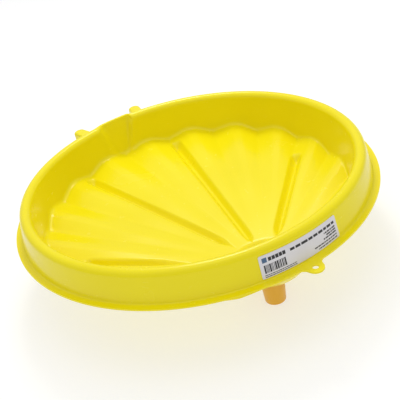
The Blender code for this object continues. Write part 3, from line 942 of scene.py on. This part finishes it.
def slot_hole(bm, turn, low, high):
    """A cutter for a radial slot with round ends and a countersunk upper edge."""
    rings = []
    for half_width, height in sunk_levels(STRAINER_SLOT_HALF_WIDTH, low, high, SLOT_SINK):
        ring = []
        for middle, start in zip(STRAINER_SLOT_ENDS, (-90, 90)):
            for step in range(ROUND_END_STEPS + 1):
                angle = math.radians(start + 180 * step / ROUND_END_STEPS)
                x, y = middle + half_width * math.cos(angle), half_width * math.sin(angle)
                ring.append(bm.verts.new((DRAIN.x + x * math.cos(turn) - y * math.sin(turn),
                                          DRAIN.y + x * math.sin(turn) + y * math.cos(turn), height)))
        rings.append(ring)
    close_rings(bm, rings)


def build_strainer(material):
    outer = (strainer_high.x - strainer_low.x) / 2
    top, bottom = strainer_high.z, strainer_low.z
    low = spout_high.z + GAP
    high = low + STRAINER_PLATE
    collar = STRAINER_COLLAR_RADIUS
    outline = rounded([
        (0, top, 0),
        (STRAINER_KNOB_RADIUS, top - 0.0006, 0.0014),
        (STRAINER_KNOB_RADIUS, top - 0.005, 0.0009),
        (STRAINER_NECK_RADIUS, top - 0.0065, 0.0006),
        (STRAINER_NECK_RADIUS, high, 0.0012),
        (outer, high, 0.0008),
        (outer, low, 0.0004),
        (collar, low, 0.0005),
        (collar - STRAINER_COLLAR_TAPER, bottom, 0.0006),
        (collar - STRAINER_COLLAR_WALL, bottom, 0.0004),
        (collar - STRAINER_COLLAR_WALL, low, 0.0004),
        (0, low, 0),
    ])
    strainer = ring_solid("strainer_plate", lambda angle: outline, RING_COLUMNS, material)
    bm = bmesh.new()
    for reach, count in STRAINER_HOLE_RINGS:
        for index in range(count):
            angle = math.tau * index / count
            place = (DRAIN.x + reach * math.cos(angle), DRAIN.y + reach * math.sin(angle))
            countersunk_hole(bm, place, low - STRAINER_CUT_DEPTH, high, STRAINER_HOLE_RADIUS)
    for index in range(STRAINER_SLOTS):
        slot_hole(bm, math.tau * (index + 0.5) / STRAINER_SLOTS, low - STRAINER_CUT_DEPTH, high)
    cut(strainer, object_from(bm, "strainer_holes"))
    sharpen(strainer, RING_CREASE)
    tie(strainer, "strainer", "debris_strainer")


# The label. Places on it are (along, up) from its lower left corner, seen from the front.


def on_label(along, up, lift):
    height = label_low.z + up * math.cos(SKIRT_DRAFT)
    radius = skirt_radius(height) + GAP + lift
    angle = LABEL_MIDDLE + (along - LABEL_LENGTH / 2) / SKIRT_FOOT_RADIUS
    return (radius * math.cos(angle), radius * math.sin(angle), height)


def add_patch(bm, columns, low, high):
    """A closed, curved patch between two lifts. columns are (along, lower edge, upper edge)."""
    rings = []
    for along, start, end in columns:
        corners = ((start, low), (start, high), (end, high), (end, low))
        rings.append([bm.verts.new(on_label(along, up, lift)) for up, lift in corners])
    close_rings(bm, rings)


def build_label(material):
    bm = bmesh.new()
    inset = [LABEL_CORNER * (1 - math.cos(math.radians(turn))) for turn in range(15, 91, 15)]
    middle = np.linspace(LABEL_CORNER, LABEL_LENGTH - LABEL_CORNER, LABEL_COLUMNS)[1:-1]
    alongs = [0.0] + inset + list(middle)
    alongs += [LABEL_LENGTH - along for along in reversed([0.0] + inset)]
    columns = []
    for along in alongs:
        near = LABEL_CORNER - min(along, LABEL_LENGTH - along, LABEL_CORNER)
        cut_off = LABEL_CORNER - math.sqrt(LABEL_CORNER**2 - near**2)
        columns.append((along, cut_off, LABEL_HEIGHT - cut_off))
    add_patch(bm, columns, 0, LABEL_THICKNESS)
    sheet = object_from(bm, "label_sheet", material)
    sharpen(sheet, LABEL_CREASE)
    tie(sheet, "pan", "label")


def print_blocks(blocks, name, material):
    """Thin printed blocks (along, up, width, height), in millimetres."""
    bm = bmesh.new()
    for along, up, width, height in blocks:
        count = max(1, math.ceil(width / PRINT_STEP))
        steps = [(along + width * step / count) / 1000 for step in range(count + 1)]
        columns = [(step, up / 1000, (up + height) / 1000) for step in steps]
        add_patch(bm, columns, INK_LOW, INK_HIGH)
    tie(object_from(bm, name, material), "pan")


def word_line(rng, start, end, up, height, longest, from_right=False):
    """A line of word-like blocks."""
    blocks = []
    place = 0.0
    while place < end - start - 1.0:
        width = min(rng.uniform(SHORTEST_WORD, 1.0) * longest, end - start - place)
        along = end - place - width if from_right else start + place
        blocks.append((along, up, width, height))
        place += width + WORD_SPACE * height
    return blocks


def build_print(dark, blue):
    rng = random.Random(PRINT_SEED)
    start, up, height = TITLE
    blocks = word_line(rng, start, PRINT_RIGHT, up, height, TITLE_WORD)
    for start, up, height in DETAIL_LINES:
        blocks += word_line(rng, start, PRINT_RIGHT, up, height, DETAIL_WORD, from_right=True)
    for up in FOOT_LINES:
        blocks += word_line(rng, FOOT_LEFT, FOOT_RIGHT, up, FOOT_HEIGHT, FOOT_WORD)
    for block in range(MARK_BLOCKS):
        along = MARK_BLOCK_LEFT + MARK_BLOCK_STEP * block
        blocks.append((along, MARK_BLOCK_LOW, MARK_BLOCK_WIDTH, MARK_BLOCK_HEIGHT))
    along = BAR_LEFT
    while along < BAR_RIGHT:
        width = rng.choice(BAR_WIDTHS)
        blocks.append((along, BAR_LOW, width, BAR_HEIGHT))
        along += width + rng.choice(BAR_SPACES)
    print_blocks(blocks, "label_print", dark)
    print_blocks([MARK], "label_print_blue", blue)


# The studio.


def soft_light(name, place, size, power):
    light = bpy.data.lights.new(name, "AREA")
    light.shape = "RECTANGLE"
    light.size, light.size_y = size
    light.energy = power
    obj = bpy.data.objects.new(name, light)
    bpy.context.scene.collection.objects.link(obj)
    obj.location = Vector(place) + LIFT
    obj.rotation_euler = (Vector() - Vector(place)).to_track_quat("-Z", "Y").to_euler()


def build_studio():
    half = STUDIO_HALF
    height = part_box("drain_spout")[0].z - STUDIO_DROP
    sides = ((-half, -half), (half, -half), (half, half), (-half, half))
    corners = [(x, y, height) for x, y in sides]
    floor = new_object("studio_floor", corners, [(0, 1, 2, 3)])
    nodes = Nodes("studio_paper")
    nodes.set(Base_Color=(FLOOR_TONE, FLOOR_TONE, FLOOR_TONE), Roughness=0.9)
    nodes.set(Emission_Color=(1, 1, 1), Emission_Strength=FLOOR_GLOW)
    nodes.hide_from_below()
    floor.data.materials.append(nodes.material)
    world = bpy.data.worlds.new("studio")
    world.use_nodes = True
    tree = world.node_tree
    background = tree.nodes["Background"]
    background.inputs["Color"].default_value = (1, 1, 1, 1)
    split = tree.nodes.new("ShaderNodeSeparateXYZ")
    tree.links.new(tree.nodes.new("ShaderNodeTexCoord").outputs["Generated"], split.inputs["Vector"])
    sky = tree.nodes.new("ShaderNodeMapRange")
    sky.inputs["To Min"].default_value = SKY_LOW
    sky.inputs["To Max"].default_value = SKY_HIGH
    tree.links.new(split.outputs["Z"], sky.inputs["Value"])
    seen = tree.nodes.new("ShaderNodeMath")
    seen.operation = "MAXIMUM"
    tree.links.new(sky.outputs["Result"], seen.inputs[0])
    tree.links.new(tree.nodes.new("ShaderNodeLightPath").outputs["Is Camera Ray"], seen.inputs[1])
    tree.links.new(seen.outputs["Value"], background.inputs["Strength"])
    bpy.context.scene.world = world
    for light in LIGHTS:
        soft_light(*light)
    bpy.context.scene.view_settings.view_transform = "Standard"


def build_camera():
    """Camera of the main view."""
    azimuth, elevation = CAMERA_AZIMUTH, CAMERA_ELEVATION
    aside, below, roll = CAMERA_ASIDE, CAMERA_BELOW, CAMERA_ROLL
    camera = bpy.data.cameras.new("main_camera")
    camera.lens = CAMERA_LENS
    camera.sensor_width = 36
    obj = bpy.data.objects.new("main_camera", camera)
    bpy.context.scene.collection.objects.link(obj)
    right = Vector((math.cos(azimuth), math.sin(azimuth), 0))
    ahead = Vector((-math.sin(azimuth) * math.cos(elevation), math.cos(azimuth) * math.cos(elevation),
                    -math.sin(elevation)))
    down = ahead.cross(right)
    place = LIFT - CAMERA_DISTANCE * ahead
    right, ahead = (
        math.cos(aside) * right - math.sin(aside) * ahead,
        math.sin(aside) * right + math.cos(aside) * ahead,
    )
    down, ahead = (
        math.cos(below) * down - math.sin(below) * ahead,
        math.sin(below) * down + math.cos(below) * ahead,
    )
    right, down = (
        math.cos(roll) * right - math.sin(roll) * down,
        math.sin(roll) * right + math.cos(roll) * down,
    )
    turn = Matrix((right, -down, -ahead)).transposed()
    obj.matrix_world = Matrix.Translation(place) @ turn.to_4x4()
    bpy.context.scene.camera = obj


build_pan(pan_material())
# The spout and the locknut share this amber colour, which is painted shade.
amber = shaded_amber_material()
build_spout(amber)
build_locknut(amber)
build_gasket(rubber_material())
build_strainer(nylon_material())
build_label(label_material())
build_print(
    ink_material("black_ink", (0.024, 0.023, 0.026), (0.010, 0.010, 0.012)),
    ink_material("blue_ink", (0.080, 0.150, 0.260), (0.050, 0.110, 0.220)),
)
build_studio()
build_camera()
